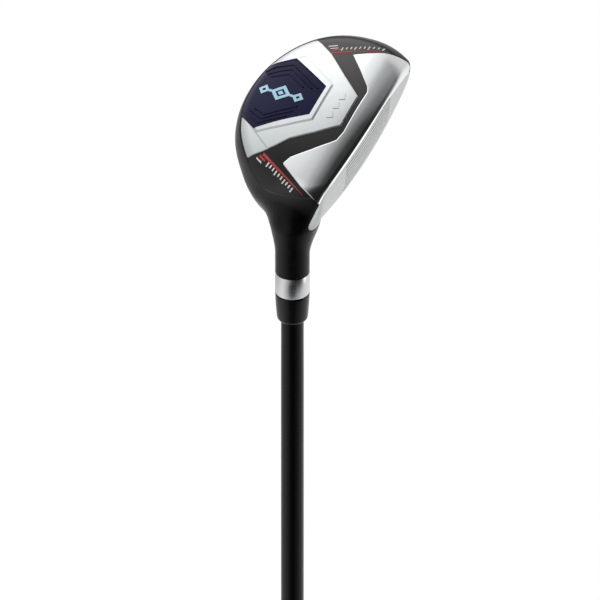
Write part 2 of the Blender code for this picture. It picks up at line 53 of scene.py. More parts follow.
# ---- head: outer surface, as in the CAD model but with a smoother bevel ----
PLAN_CENTRE = (30.0, 38.0)
PLAN_REACH = (45.0, 43.0, 40.0, 36.5, 34.5, 35.5, 42.0, 46.0, 45.0, 45.0, 45.0, 48.0)
SOLE_LOW = (24.0, 34.0)
SOLE_RADII = (110.0, 180.0, 200.0)
BEVEL_A, BEVEL_SCALE = 19.0, 2110.0  # the sole turns up towards the leading edge from here
BEVEL_TOE_B, BEVEL_SPREAD, BEVEL_EASE = 46.5, 0.30, 6.0
CROWN_TOP = (10.0, 56.0, 40.0)
CROWN_RADII = (67.0, 140.0)
SKIRT_ROUND = 9.0
CROWN_ROUND = 7.0
FACE_EDGE_ROUND = 2.0
FACE_FOOT = 3.0
FACE_MIDDLE = (38.0, 16.0)
FACE_RADIUS = 300.0
HOSEL_R = 7.1
HOSEL_END = 36.4
HOSEL_FOOT = 9.0
HOSEL_FOOT_ROUND = 7.0
NECK_BLEND = 14.0
BEND = (14.0, 40.0)
CORE_START = (12.0, 32.1)
CORE_HEEL = (28.0, 24.0)
CORE_TOE = (27.0, 20.0)
TOE_B = 82.9

# ---- head: how its dense surface is sampled ----
SECTIONS = ((8, 60, 130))  # on the hosel, round the neck and on to the toe
POINTS = 320  # in each section
RAYS = 240  # cast from the middle of a section to find its line
RAY_REACH = 75.0
TURN_WEIGHT = 6.0  # a turn of one radian draws as many points as this length does
POLE_OUT = 0.08  # how far the last point lies beyond the last section
PROBE = 0.02  # step for slopes
LEAST_SHARE = 0.03  # a cut keeps this share of a side away from its ends
NEAR = 1.5  # faces this close to a piece are worked on with it
LEVEL_RISE = 0.03  # faces that rise less than this keep the skin's own normals

# ---- levels of the head's pieces, from its outer surface ----
SKIN = -0.06  # keeps the dense surface inside the CAD model's box
DARK_ZONE = -0.55  # the painted part of the sole lies this low
UNDER = -0.75  # the shell under the pieces let into it
FLOOR = -0.95  # underside of those pieces


# ---- the head's surface ----

def catmull(values, t):
    """A smooth closed curve through evenly spaced values."""
    values = np.asarray(values, float)
    i = np.floor(t).astype(int)
    f = t - i
    p0, p1, p2, p3 = [values[(i + k) % len(values)] for k in (-1, 0, 1, 2)]
    return 0.5 * (2 * p1 + (p2 - p0) * f + (2 * p0 - 5 * p1 + 4 * p2 - p3) * f ** 2
                  + (3 * p1 - p0 - 3 * p2 + p3) * f ** 3)


def plan_reach(angle):
    return catmull(PLAN_REACH, np.asarray(angle) % (2 * pi) / (2 * pi) * len(PLAN_REACH))


def both(x, y, r):
    """Where two shapes overlap, with their shared edge rounded to radius r."""
    return np.minimum(-r, np.maximum(x, y)) + np.hypot(np.maximum(r + x, 0), np.maximum(r + y, 0))


def either(x, y, r):
    """Two shapes joined, with a fillet of radius r."""
    return np.maximum(r, np.minimum(x, y)) - np.hypot(np.maximum(r - x, 0), np.maximum(r - y, 0))


def plan(a, b):
    da, db = a - PLAN_CENTRE[0], b - PLAN_CENTRE[1]
    angle = np.arctan2(da, db)
    reach, step = plan_reach(angle), 1e-3
    slope = (plan_reach(angle + step) - reach) / step / reach
    return (np.hypot(da, db) - reach) / np.sqrt(1 + slope ** 2)


def sole(a, b, c):
    across = np.where(b < SOLE_LOW[1], SOLE_RADII[1], SOLE_RADII[2])
    height = (a - SOLE_LOW[0]) ** 2 / (2 * SOLE_RADII[0]) + (b - SOLE_LOW[1]) ** 2 / (2 * across)
    beyond = b - BEVEL_TOE_B
    bevel = BEVEL_A + BEVEL_SPREAD * (beyond + np.hypot(beyond, BEVEL_EASE)) / 2
    return height + np.maximum(0, bevel - a) ** 3 / BEVEL_SCALE - c


def crown(a, b, c):
    drop = (a - CROWN_TOP[0]) ** 2 / (2 * CROWN_RADII[0]) + (b - CROWN_TOP[1]) ** 2 / (2 * CROWN_RADII[1])
    return c - CROWN_TOP[2] + drop


def up_face(a, c):
    return a * sin(LOFT) + (c - FACE_FOOT) * cos(LOFT)


def face(a, b, c):
    curve = ((b - FACE_MIDDLE[0]) ** 2 + (up_face(a, c) - FACE_MIDDLE[1]) ** 2) / (2 * FACE_RADIUS)
    return (c - FACE_FOOT) * sin(LOFT) - a * cos(LOFT) + curve


def hosel(a, b, c):
    along = c * sin(LIE) - b * cos(LIE)
    tube = np.hypot(a - AXIS_A, b * sin(LIE) + c * cos(LIE)) - HOSEL_R
    return both(tube, HOSEL_FOOT - along, HOSEL_FOOT_ROUND)


def skin(a, b, c):
    """Signed distance, more or less, to the head's outer surface."""
    body = both(plan(a, b), sole(a, b, c), SKIRT_ROUND)
    body = both(body, crown(a, b, c), CROWN_ROUND)
    body = both(body, face(a, b, c), FACE_EDGE_ROUND)
    return either(body, hosel(a, b, c), NECK_BLEND)


def gradient(points):
    a, b, c = points.T
    return np.stack([skin(a + PROBE, b, c) - skin(a - PROBE, b, c),
                     skin(a, b + PROBE, c) - skin(a, b - PROBE, c),
                     skin(a, b, c + PROBE) - skin(a, b, c - PROBE)], axis=1) / (2 * PROBE)


def outward(points):
    slope = gradient(points)
    return slope / np.linalg.norm(slope, axis=1)[:, None]


def onto_skin(points):
    for _ in range(3):
        slope = gradient(points)
        points = points - slope * (skin(*points.T) / (slope ** 2).sum(axis=1))[:, None]
    return points


def first_crossing(start, ways):
    """Distance along each ray at which the skin is first crossed outwards."""
    def level_at(t):
        return skin(*np.moveaxis(start + t[..., None] * ways, -1, 0))
    steps = np.linspace(0.0, RAY_REACH, 100)
    values = np.stack([level_at(np.full(len(ways), t)) for t in steps], axis=1)
    k = np.argmax(values > 0, axis=1)
    low, high = steps[k - 1], steps[k]
    for _ in range(12):
        middle = (low + high) / 2
        outside = level_at(middle) > 0
        high = np.where(outside, middle, high)
        low = np.where(outside, low, middle)
    return (low + high) / 2


def share_out(points, count):
    """Points spread round a closed line, closer together where it bends."""
    run = np.roll(points, -1, axis=0) - points
    length = np.linalg.norm(run, axis=1)
    way = run / length[:, None]
    bend = np.arccos(np.clip((way * np.roll(way, 1, axis=0)).sum(axis=1), -1, 1))
    weight = length + TURN_WEIGHT * (bend + np.roll(bend, -1)) / 2
    place = np.concatenate([[0], np.cumsum(weight)])
    wanted = np.arange(count) / count * place[-1]
    closed = np.concatenate([points, points[:1]])
    return np.stack([np.interp(wanted, place, closed[:, axis]) for axis in range(3)], axis=1)


def section_frames():
    """Middle and upward direction of each section, from the hosel's end round the neck to the toe."""
    on_hosel, round_neck, to_toe = SECTIONS
    axis_up = np.array([0, sin(LIE), cos(LIE)])
    bend_along = BEND[1] * sin(LIE) - BEND[0] * cos(LIE)
    frames = []
    for along in np.linspace(HOSEL_END, bend_along, on_hosel, endpoint=False):
        frames.append((np.array([AXIS_A, -along * cos(LIE), along * sin(LIE)]), axis_up))
    for share in np.linspace(0, 1, round_neck, endpoint=False):
        turn = pi / 2 - LIE + share * LIE
        up = np.array([0, cos(turn), sin(turn)])
        ease = share ** 2 * (3 - 2 * share)
        a, far = [s + (e - s) * ease for s, e in zip(CORE_START, CORE_HEEL)]
        frames.append((np.array([a, *BEND]) - far * up, up))
    heel_c = BEND[1] - CORE_HEEL[1]
    for share in np.linspace(0, 1, to_toe):
        b = BEND[0] + (TOE_B - BEND[0]) * sin(share * pi / 2)
        a = CORE_HEEL[0] + (CORE_TOE[0] - CORE_HEEL[0]) * share
        c = heel_c + (CORE_TOE[1] - heel_c) * share
        frames.append((np.array([a, b, c]), np.array([0, 0, 1.0])))
    return frames


def head_skin():
    """Points and three-cornered faces of the dense outer surface, open at the hosel's end."""
    angles = np.linspace(0, 2 * pi, RAYS, endpoint=False)
    rings = []
    for middle, up in section_frames():
        ways = np.outer(np.cos(angles), [1, 0, 0]) + np.outer(np.sin(angles), up)
        far = first_crossing(middle, ways)
        rings.append(share_out(middle + far[:, None] * ways, POINTS))
    points = np.concatenate(rings)
    pole = np.array([[rings[-1][:, 0].mean(), TOE_B + POLE_OUT, rings[-1][:, 2].mean()]])
    points = onto_skin(np.concatenate([points, pole]))
    row = np.arange(len(rings) - 1)[:, None] * POINTS
    i = np.arange(POINTS)
    j = (i + 1) % POINTS
    p, q, r, s = [(row + k).ravel() for k in (i, j, j + POINTS, i + POINTS)]
    last = (len(rings) - 1) * POINTS
    fan = np.stack([last + i, last + j, np.full(POINTS, len(points) - 1)], axis=1)
    faces = np.concatenate([np.stack([p, q, r], axis=1), np.stack([p, r, s], axis=1), fan])
    corner = points[faces]
    normal = np.cross(corner[:, 1] - corner[:, 0], corner[:, 2] - corner[:, 0])
    if (normal * outward(corner.mean(axis=1))).sum() < 0:
        faces = faces[:, ::-1]
    return points, faces


# ---- cutting and building meshes ----

def split(points, faces, field, level):
    """Cut faces along the line where a field has this value."""
    value = field(*points.T) - level
    side = value > 0
    count = side[faces].sum(axis=1)
    mixed = faces[(count == 1) | (count == 2)]
    kept = faces[(count == 0) | (count == 3)]
    if not len(mixed):
        return points, faces
    corner_side = side[mixed]
    lone = np.where(corner_side.sum(axis=1) == 1, corner_side.argmax(axis=1), (~corner_side).argmax(axis=1))
    rows = np.arange(len(mixed))
    p, q, r = [mixed[rows, (lone + k) % 3] for k in range(3)]
    edges = np.sort(np.concatenate([np.stack([p, q], axis=1), np.stack([p, r], axis=1)]), axis=1)
    unique, where = np.unique(edges, axis=0, return_inverse=True)
    where = where.ravel()
    start, end = points[unique[:, 0]], points[unique[:, 1]]
    start_side = side[unique[:, 0]]
    low, high = np.zeros(len(unique)), np.ones(len(unique))
    for _ in range(9):
        share = (low + high) / 2
        same = (field(*(start + share[:, None] * (end - start)).T) - level > 0) == start_side
        low, high = np.where(same, share, low), np.where(same, high, share)
    share = np.clip((low + high) / 2, LEAST_SHARE, 1 - LEAST_SHARE)
    made = onto_skin(start + share[:, None] * (end - start))
    pq, pr = len(points) + where[:len(p)], len(points) + where[len(p):]
    more = [np.stack(three, axis=1) for three in ((p, pq, pr), (pq, q, r), (pq, r, pr))]
    return np.concatenate([points, made]), np.concatenate([kept, *more])


def finer(points, faces):
    """Each face made into four, with the new points on the skin."""
    sides = np.sort(np.concatenate([faces[:, [0, 1]], faces[:, [1, 2]], faces[:, [2, 0]]]), axis=1)
    unique, where = np.unique(sides, axis=0, return_inverse=True)
    middles = onto_skin(points[unique].mean(axis=1))
    p, q, r = faces.T
    pq, qr, rp = np.split(where.ravel() + len(points), 3)
    fours = [np.stack(three, axis=1) for three in ((p, pq, rp), (pq, q, qr), (rp, qr, r), (pq, qr, rp))]
    return np.concatenate([points, middles]), np.concatenate(fours)


def used_only(points, faces):
    used, where = np.unique(faces, return_inverse=True)
    return points[used], where.reshape(faces.shape)


def new_object(name, data):
    made = bpy.data.objects.new(name, data)
    bpy.context.scene.collection.objects.link(made)
    return made


def mesh_object(name, points, faces, normals=None):
    """An object from arrays in millimetres. They are in the world's frame, or in the head's frame when
    they come with normals, one for each corner of each face."""
    mesh = bpy.data.meshes.new(name)
    if normals is not None:
        turn = np.array(HEAD.to_3x3())
        points = points @ turn.T + np.array(HEAD.translation) / MM
        normals = normals.reshape(-1, 3) @ turn.T
    mesh.vertices.add(len(points))
    mesh.vertices.foreach_set("co", (points * MM).ravel())
    mesh.loops.add(faces.size)
    mesh.loops.foreach_set("vertex_index", faces.ravel())
    mesh.polygons.add(len(faces))
    mesh.polygons.foreach_set("loop_start", np.arange(len(faces)) * faces.shape[1])
    mesh.update(calc_edges=True)
    mesh.shade_smooth()
    if normals is not None:
        mesh.normals_split_custom_set(normals.tolist())
    return new_object(name, mesh)


def place(made, finish, *nodes):
    """Give a piece its place in the frame and its finish, and hide the CAD nodes it stands in for."""
    made.data.materials.append(LOOKS[finish])
    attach(made, "root")
    if nodes:
        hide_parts(*nodes)


def face_normals(points, faces):
    corner = points[faces[:, :3]]
    normal = np.cross(corner[:, 1] - corner[:, 0], corner[:, 2] - corner[:, 0])
    return normal / np.maximum(np.linalg.norm(normal, axis=1), 1e-12)[:, None]


def open_sides(faces, count):
    """Sides that no second face shares, among faces on this many points."""
    corners = faces.shape[1]
    sides = np.concatenate([faces[:, [k, (k + 1) % corners]] for k in range(corners)])
    key = sides[:, 0] * count + sides[:, 1]
    return sides[~np.isin(key, sides[:, 1] * count + sides[:, 0])]


def relief(name, source, inside, bends, height, floor=FLOOR, finer_by=0):
    """The part of the skin inside a field, raised by a height and closed underneath unless floor is None.
    bends lists the fields and values along which the height changes its slope."""
    points, faces = source
    near = (inside(*points.T)[faces] < NEAR).any(axis=1)
    points, faces = used_only(points, faces[near])
    for _ in range(finer_by):
        points, faces = finer(points, faces)
    for field, levels in [(inside, [0.0])] + bends:
        for level in levels:
            points, faces = split(points, faces, field, level)
    centre = points[faces].mean(axis=1)
    points, faces = used_only(points, faces[inside(*centre.T) < 0])
    normal = outward(points)
    rise = height(*points.T) + SKIN
    top = points + normal * rise[:, None]
    level_face = np.ptp(rise[faces], axis=1) < LEVEL_RISE
    corners = np.where(level_face[:, None, None], normal[faces], face_normals(top, faces)[:, None, :])
    if floor is None:
        return mesh_object(name, top, faces, corners)
    under = points + normal * floor
    count = len(points)
    rim = open_sides(faces, count)
    wall = np.concatenate([np.stack([rim[:, 1], rim[:, 0], rim[:, 0] + count], axis=1),
                           np.stack([rim[:, 1], rim[:, 0] + count, rim[:, 1] + count], axis=1)])
    points = np.concatenate([top, under])
    back = faces[:, ::-1] + count
    wall_normal = np.repeat(face_normals(points, wall)[:, None, :], 3, axis=1)
    corners = np.concatenate([corners, -normal[faces[:, ::-1]], wall_normal])
    return mesh_object(name, points, np.concatenate([faces, back, wall]), corners)


def chamfer(distance, steps):
    """Height of an edge chamfered in steps, each a width and its drop at the edge itself."""
    return sum(drop * np.clip(1 + distance / width, 0, 1) for width, drop in steps)


def chamfer_lines(steps):
    """Distances at which such a chamfer bends, the nearest to the edge first."""
    return [-width for width, _ in reversed(steps)]


def rise_inside(distance, width):
    """0 at a line and outside it, 1 from this distance inside it."""
    return np.clip(-distance / width, 0, 1)


def slope_across(distance, width):
    """1 inside a line and 0 outside it, with a slope of this width centred on it."""
    return np.clip(0.5 - distance / width, 0, 1)


def to_segments(a, b, starts, ends):
    """Distance in the a-b plane to the nearest of some straight stretches."""
    nearest = np.full(a.shape, np.inf)
    for (x0, y0), (x1, y1) in zip(starts, ends):
        run_a, run_b = x1 - x0, y1 - y0
        along = np.clip(((a - x0) * run_a + (b - y0) * run_b) / (run_a ** 2 + run_b ** 2), 0, 1)
        nearest = np.minimum(nearest, np.hypot(a - x0 - along * run_a, b - y0 - along * run_b))
    return nearest


def directions(start, end):
    """Unit vectors along a line in the a-b plane and square to it."""
    run = np.subtract(end, start)
    way = run / np.hypot(*run)
    return way, np.array([-way[1], way[0]])


def outline(corners):
    """Signed distance in the a-b plane to a closed outline."""
    after = corners[1:] + corners[:1]

    def field(a, b, c=None):
        inside = np.zeros(a.shape, bool)
        for (x0, y0), (x1, y1) in zip(corners, after):
            crosses = (y0 > b) != (y1 > b)
            with np.errstate(divide="ignore", invalid="ignore"):
                inside ^= crosses & (a < (x1 - x0) * (b - y0) / (y1 - y0) + x0)
        nearest = to_segments(a, b, corners, after)
        return np.where(inside, -nearest, nearest)
    return field


def ridge(path, half):
    """Signed distance to a band along an open line in the a-b plane."""
    def field(a, b, c=None):
        return to_segments(a, b, path, path[1:]) - half
    return field


def union(*fields):
    def field(a, b, c):
        return np.minimum.reduce([f(a, b, c) for f in fields])
    return field


# ---- where the head's pieces lie ----

SKIRT_LINE = 4.5  # the rear land and the badge stop this far inside the plan
SOLE_TOP = 14.0  # the sole's pieces end at this c, but for the toe of the polished land
DEEP = -9.0  # stands for well inside

LEADING_B, LEADING_UP = 36.0, 3.4  # lowest point of the line where polished turns into brushed
LEADING_TO_HEEL, LEADING_TO_TOE = 0.0029, 2.35e-4
FACE_HEEL_B = -7.4
FACE_CORNER_ROUND = 2.3
FACE_DEPTH = 0.9
HEEL_TOP_B, HEEL_TOP_UP = 1.5, 16.2  # the face's upper edge at the heel climbs from here
HEEL_TOP_CLIMB, HEEL_TOP_CURVE = 0.6, 0.30
HEEL_TOP_LEAN = 0.85  # turns height above that edge into distance from it


def leading_line(b):
    """Height up the face at which polished turns into brushed."""
    to_heel = LEADING_TO_HEEL * np.maximum(0, LEADING_B - b) ** 2
    return LEADING_UP + to_heel + LEADING_TO_TOE * np.maximum(0, b - LEADING_B) ** 3


def face_zone(a, b, c):
    up = up_face(a, c)
    past = b - HEEL_TOP_B
    heel_top = HEEL_TOP_UP + HEEL_TOP_CLIMB * past + HEEL_TOP_CURVE * np.maximum(0, past) ** 2
    zone = both(leading_line(b) - up, HEEL_TOP_LEAN * (up - heel_top), FACE_CORNER_ROUND)
    zone = both(zone, FACE_HEEL_B - b, FACE_CORNER_ROUND)
    return np.maximum(zone, -FACE_DEPTH - face(a, b, c))


REAR_FRONT = [(48.9, 72.6), (35.7, 66.4), (23.2, 58.3), (12.2, 51.5), (11.0, 36.2), (19.3, 29.1),
              (28.0, 22.9), (32.5, 17.7), (36.9, 13.7), (44.3, 8.2)]
REAR_BACK = [(75.0, 8.2), (75.0, 72.6)]
rear_front = outline(REAR_FRONT + REAR_BACK)

FRONT_EDGE = [(26.8, 69.1), (18.9, 63.0), (11.8, 57.1), (10.6, 54.9), (10.2, 48.7), (9.1, 34.4),
              (9.7, 29.9), (11.3, 27.8), (17.2, 21.5), (23.5, 15.5), (25.1, 12.0), (24.5, 11.2),
              (12.4, 5.3), (5.6, 3.1)]
FRONT_BACK = [(-8.0, 2.4), (-8.0, 90.0), (7.0, 90.0), (9.0, 79.6), (11.0, 78.8), (13.1, 77.6),
              (15.4, 76.1), (18.8, 73.8)]
front_outline = outline(FRONT_EDGE + FRONT_BACK)

BADGE = [(47.0, 22.2), (37.0, 28.8), (26.1, 35.5), (27.1, 50.2), (49.8, 59.5), (56.0, 56.2), (75.0, 47.0),
         (75.0, 31.0), (56.7, 26.3)]
badge_outline = outline(BADGE)
BEZEL = [(44.7, 20.7), (33.3, 27.1), (23.2, 33.7), (24.7, 52.3), (46.0, 61.9), (49.8, 59.5), (56.0, 56.2),
         (75.0, 47.0), (75.0, 31.0), (56.7, 26.3), (47.0, 22.2)]
bezel_outline = outline(BEZEL)

REAR_CORNER_ROUND = 1.2
POLISHED_TOP = 27.0  # the polished land climbs to this c at the toe
TOE_START_B, TOE_DEPTH = 62.0, 4.0  # and above SOLE_TOP it is only in front of these
CREASE_A, CREASE_B, CREASE_CURVE = 13.5, -4.2, 0.0155
DARK_RIM, DARK_FRONT = 4.2, 3.2  # the low paint stops this far inside the plan and the face
CROWN_RIM, CROWN_FRONT, CROWN_CORNER_ROUND = 5.5, 2.4, 4.0
CROWN_HEEL_B, CROWN_HEEL_ROUND, CROWN_FOOT = 8.0, 9.0, 17.0


def rear_zone(a, b, c):
    rim = both(rear_front(a, b), plan(a, b) + SKIRT_LINE, REAR_CORNER_ROUND)
    return np.maximum(rim, c - SOLE_TOP)


def badge_zone(a, b, c):
    return np.maximum(np.maximum(badge_outline(a, b), plan(a, b) + SKIRT_LINE), c - SOLE_TOP)


def front_zone(a, b, c):
    zone = np.maximum(front_outline(a, b), c - POLISHED_TOP)
    at_toe = np.maximum(-TOE_DEPTH - face(a, b, c), TOE_START_B - b)
    return np.maximum(zone, np.where(c > SOLE_TOP, at_toe, DEEP))


def polished_zone(a, b, c):
    return np.maximum(front_zone(a, b, c), -face_zone(a, b, c))


def satin_zone(a, b, c):
    return np.maximum(rear_zone(a, b, c), -badge_zone(a, b, c))


def crease(a):
    """b of the neck's crease, on the underside."""
    return CREASE_B + CREASE_CURVE * (a - CREASE_A) ** 2


def dark_zone(a, b, c):
    """The painted part of the sole that lies a little low."""
    zone = np.maximum(plan(a, b) + DARK_RIM, crease(a) - b)
    zone = np.maximum(zone, c - SOLE_TOP)
    return np.maximum(zone, face(a, b, c) + DARK_FRONT)


def crown_zone(a, b, c):
    zone = both(plan(a, b) + CROWN_RIM, face(a, b, c) + CROWN_FRONT, CROWN_CORNER_ROUND)
    zone = both(zone, CROWN_HEEL_B - b, CROWN_HEEL_ROUND)
    return np.maximum(zone, CROWN_FOOT - c)


let_in = union(rear_zone, front_zone, face_zone, crown_zone)


# ---- finishes ----

LOOKS = {}


class Look:
    """A procedural finish built up on a Principled shader and kept in LOOKS. on_head says whether its
    noise follows the head's axes or the shaft's."""

    def __init__(self, finish, name, colour, roughness, metallic=0.0, on_head=True, **sockets):
        self.on_head = on_head
        self.made = bpy.data.materials.new(name)
        LOOKS[finish] = self.made
        self.made.use_nodes = True
        self.tree = self.made.node_tree
        self.shader = self.tree.nodes["Principled BSDF"]
        self.set("Base Color", (*colour, 1))
        self.set("Roughness", roughness)
        self.set("Metallic", metallic)
        for socket, value in sockets.items():
            self.set(socket.replace("_", " "), value)
        self.colour, self.roughness = colour, roughness
        self.bump = None

    def set(self, socket, value):
        self.shader.inputs[socket].default_value = value

    def node(self, kind, **values):
        made = self.tree.nodes.new(kind)
        for name, value in values.items():
            if name in made.bl_rna.properties:
                setattr(made, name, value)
            else:
                made.inputs[name.replace("_", " ")].default_value = value
        return made

    def link(self, source, target):
        self.tree.links.new(source, target)

    def mapped(self, **values):
        made = self.node("ShaderNodeMapping", vector_type="TEXTURE", **values)
        self.link(self.node("ShaderNodeTexCoord").outputs["Object"], made.inputs["Vector"])
        return made.outputs["Vector"]

    def noise(self, size, detail=3.0, stretch=None):
        """Noise of a feature size in millimetres, drawn out along each axis by a factor of stretch."""
        made = self.node("ShaderNodeTexNoise", Scale=1.0, Detail=detail, Roughness=0.55)
        rotation = HEAD.to_euler() if self.on_head else (0, 0, 0)
        scale = tuple(size * MM * s for s in stretch or (1, 1, 1))
        self.link(self.mapped(Rotation=rotation, Scale=scale), made.inputs["Vector"])
        return made.outputs["Fac"]

    def along_head(self, axis, start, end):
        """0 to 1 between two places along one of the head's axes, in millimetres."""
        axes = self.node("ShaderNodeSeparateXYZ")
        self.link(self.mapped(Rotation=HEAD.to_euler(), Location=HEAD.translation), axes.inputs[0])
        return self.between(axes.outputs[axis], 0.0, 1.0, start * MM, end * MM)

    def joined(self, operation, first, second):
        made = self.node("ShaderNodeMath", operation=operation)
        self.link(first, made.inputs[0])
        self.link(second, made.inputs[1])
        return made.outputs[0]

    def between(self, fac, low, high, start=0.35, end=0.65):
        made = self.node("ShaderNodeMapRange", From_Min=start, From_Max=end, To_Min=low, To_Max=high)
        self.link(fac, made.inputs["Value"])
        return made.outputs["Result"]

    def vary_roughness(self, fac, spread):
        rough = self.between(fac, self.roughness - spread, self.roughness + spread)
        self.link(rough, self.shader.inputs["Roughness"])
        return self

    def vary_colour(self, fac, other, start=0.35, end=0.65):
        ramp = self.node("ShaderNodeValToRGB")
        for element, position, colour in zip(ramp.color_ramp.elements, (start, end), (self.colour, other)):
            element.position = position
            element.color = (*colour, 1)
        self.link(fac, ramp.inputs["Fac"])
        self.link(ramp.outputs["Color"], self.shader.inputs["Base Color"])
        return self

    def rough_up(self, fac, strength, depth):
        made = self.node("ShaderNodeBump", Strength=strength, Distance=depth * MM)
        self.link(fac, made.inputs["Height"])
        if self.bump:
            self.link(self.bump.outputs["Normal"], made.inputs["Normal"])
        self.link(made.outputs["Normal"], self.shader.inputs["Normal"])
        self.bump = made
        return self


def make_head_looks():
    paint = Look("black_paint", "satin_black_paint", (0.003, 0.003, 0.003), 0.32, Specular_IOR_Level=0.15)
    paint.vary_roughness(paint.noise(3.0), 0.04).rough_up(paint.noise(0.30, 2.0), 0.25, 0.010)
    # painted sheen: underneath, the black paint turns lighter grey by the neck and towards the toe, colour
    # standing in for the light those parts reflect
    sheen_by_neck = paint.joined("MULTIPLY", paint.along_head("Y", 14.0, -24.0), paint.along_head("Y", -4.5, 1.0))
    painted_sheen = paint.joined("ADD", sheen_by_neck, paint.along_head("Y", 8.0, 66.0))
    painted_sheen_on_sole = paint.joined("MULTIPLY", painted_sheen, paint.along_head("Z", 12.0, 5.0))
    paint.vary_colour(painted_sheen_on_sole, (0.125, 0.118, 0.116), 0.0, 1.0)
    gloss = Look("crown_paint", "crown_gloss", (0.006, 0.006, 0.007), 0.30, Coat_Weight=1.0,
                 Coat_Roughness=0.05)
    gloss.vary_colour(gloss.noise(0.12, 1.0), (0.020, 0.020, 0.024), 0.55, 0.75)
    gloss.rough_up(gloss.noise(1.2, 2.0), 0.10, 0.006)
    steel = Look("polished_steel", "polished_steel", (0.74, 0.76, 0.77), 0.14, 1.0)
    steel.vary_roughness(steel.noise(4.0, 5.0), 0.03)
    steel.rough_up(steel.noise(0.16, 3.0, (1.0, 14.0, 1.0)), 0.10, 0.004)
    satin = Look("satin_silver", "satin_silver", (0.46, 0.49, 0.49), 0.33, 1.0)
    satin.vary_roughness(satin.noise(2.2, 4.0), 0.03).rough_up(satin.noise(0.22, 2.0), 0.22, 0.008)
    # painted reflection: the satin land is coloured lighter towards the toe, in place of the brighter light
    # that it reflects there
    satin.vary_colour(satin.along_head("Y", 8.0, 64.0), (0.70, 0.72, 0.73), 0.0, 1.0)
    brushed = Look("brushed_face", "brushed_steel", (0.43, 0.44, 0.44), 0.30, 1.0)
    brushed.vary_roughness(brushed.noise(0.5, 4.0, (1.0, 24.0, 1.0)), 0.07)
    brushed.vary_colour(brushed.noise(0.35, 3.0, (1.0, 40.0, 1.0)), (0.33, 0.34, 0.34))
    brushed.rough_up(brushed.noise(0.22, 3.0, (1.0, 30.0, 1.0)), 0.45, 0.012)
    navy = Look("navy", "navy_badge", (0.002, 0.002, 0.038), 0.20, Specular_IOR_Level=0.11)
    navy.vary_colour(navy.noise(7.0), (0.003, 0.003, 0.052)).rough_up(navy.noise(0.25, 2.0), 0.12, 0.006)
    blue = Look("pale_blue", "pale_blue_enamel", (0.42, 0.76, 1.0), 0.30, Coat_Weight=0.3,
                Coat_Roughness=0.10)
    blue.vary_colour(blue.noise(2.0, 2.0), (0.50, 0.82, 1.0)).rough_up(blue.noise(0.4, 2.0), 0.10, 0.006)
    red = Look("red", "red_paint_fill", (0.55, 0.016, 0.014), 0.35)
    red.vary_colour(red.noise(1.5, 2.0), (0.62, 0.030, 0.022)).rough_up(red.noise(0.3, 2.0), 0.15, 0.006)
    white = Look("white", "white_paint_fill", (0.95, 0.95, 0.95), 0.40)
    white.vary_colour(white.noise(1.5, 2.0), (0.86, 0.86, 0.86))
    white.rough_up(white.noise(0.3, 2.0), 0.15, 0.006)


def make_shaft_looks():
    ring = Look("ring_metal", "spun_aluminium", (0.56, 0.57, 0.58), 0.22, 1.0, False)
    ring.vary_roughness(ring.noise(0.30, 3.0, (30.0, 30.0, 1.0)), 0.05)
    ring.rough_up(ring.noise(0.20, 3.0, (40.0, 40.0, 1.0)), 0.30, 0.008)
    ferrule = Look("ferrule_plastic", "ferrule_plastic", (0.004, 0.004, 0.004), 0.22, 0.0, False,
                   Specular_IOR_Level=0.22)
    ferrule.vary_roughness(ferrule.noise(0.6, 3.0, (20.0, 20.0, 1.0)), 0.05)
    ferrule.rough_up(ferrule.noise(0.4, 2.0, (30.0, 30.0, 1.0)), 0.15, 0.006)
    shaft = Look("shaft_gloss", "shaft_lacquer", (0.002, 0.002, 0.0022), 0.24, 0.0, False,
                 Specular_IOR_Level=0.14)
    shaft.vary_colour(shaft.noise(0.5, 2.0, (1.0, 1.0, 20.0)), (0.003, 0.003, 0.003))
    shaft.rough_up(shaft.noise(1.6, 3.0, (1.0, 1.0, 6.0)), 0.06, 0.006)
    rubber = Look("grip_rubber", "grip_rubber", (0.020, 0.020, 0.021), 0.72, 0.0, False)
    rubber.vary_roughness(rubber.noise(1.0, 4.0), 0.08).rough_up(rubber.noise(0.35), 0.35, 0.030)
    rubber.vary_colour(rubber.noise(14.0, 4.0), (0.028, 0.028, 0.029))
    cap = Look("cap_rubber", "cap_rubber", (0.024, 0.024, 0.025), 0.62, 0.0, False)
    cap.vary_roughness(cap.noise(1.2, 4.0), 0.08).rough_up(cap.noise(0.3), 0.30, 0.020)


# slot, colour, other colour, roughness, metallic and size of the noise
INNER_LOOKS = (("foam", (0.10, 0.10, 0.10), (0.06, 0.06, 0.06), 0.92, 0.0, 0.5),
               ("dark_weight", (0.22, 0.22, 0.23), (0.16, 0.16, 0.17), 0.42, 1.0, 0.8),
               ("brass", (0.65, 0.45, 0.15), (0.55, 0.36, 0.11), 0.34, 1.0, 1.0),
               ("hot_melt", (0.75, 0.66, 0.42), (0.62, 0.52, 0.30), 0.55, 0.0, 3.0),
               ("epoxy", (0.55, 0.50, 0.38), (0.46, 0.41, 0.30), 0.45, 0.0, 1.5),
               ("paper_tape", (0.60, 0.57, 0.48), (0.52, 0.49, 0.40), 0.88, 0.0, 0.7))


def make_inner_looks():
    for name, colour, other, rough, metallic, size in INNER_LOOKS:
        inner = Look(name, name, colour, rough, metallic)
        inner.vary_colour(inner.noise(size), other).rough_up(inner.noise(size / 2), 0.3, 0.03)


make_head_looks()
make_shaft_looks()
make_inner_looks()


# ---- head pieces ----

DARK_SLOPE = 0.5  # width of the step into the low paint
LET_IN_SLOPE = 0.3
CROWN_EDGE = ((0.2, -0.2),)


def either_side(width):
    return width / 2, -width / 2


def everywhere(a, b, c):
    return np.full(a.shape, -1.0)


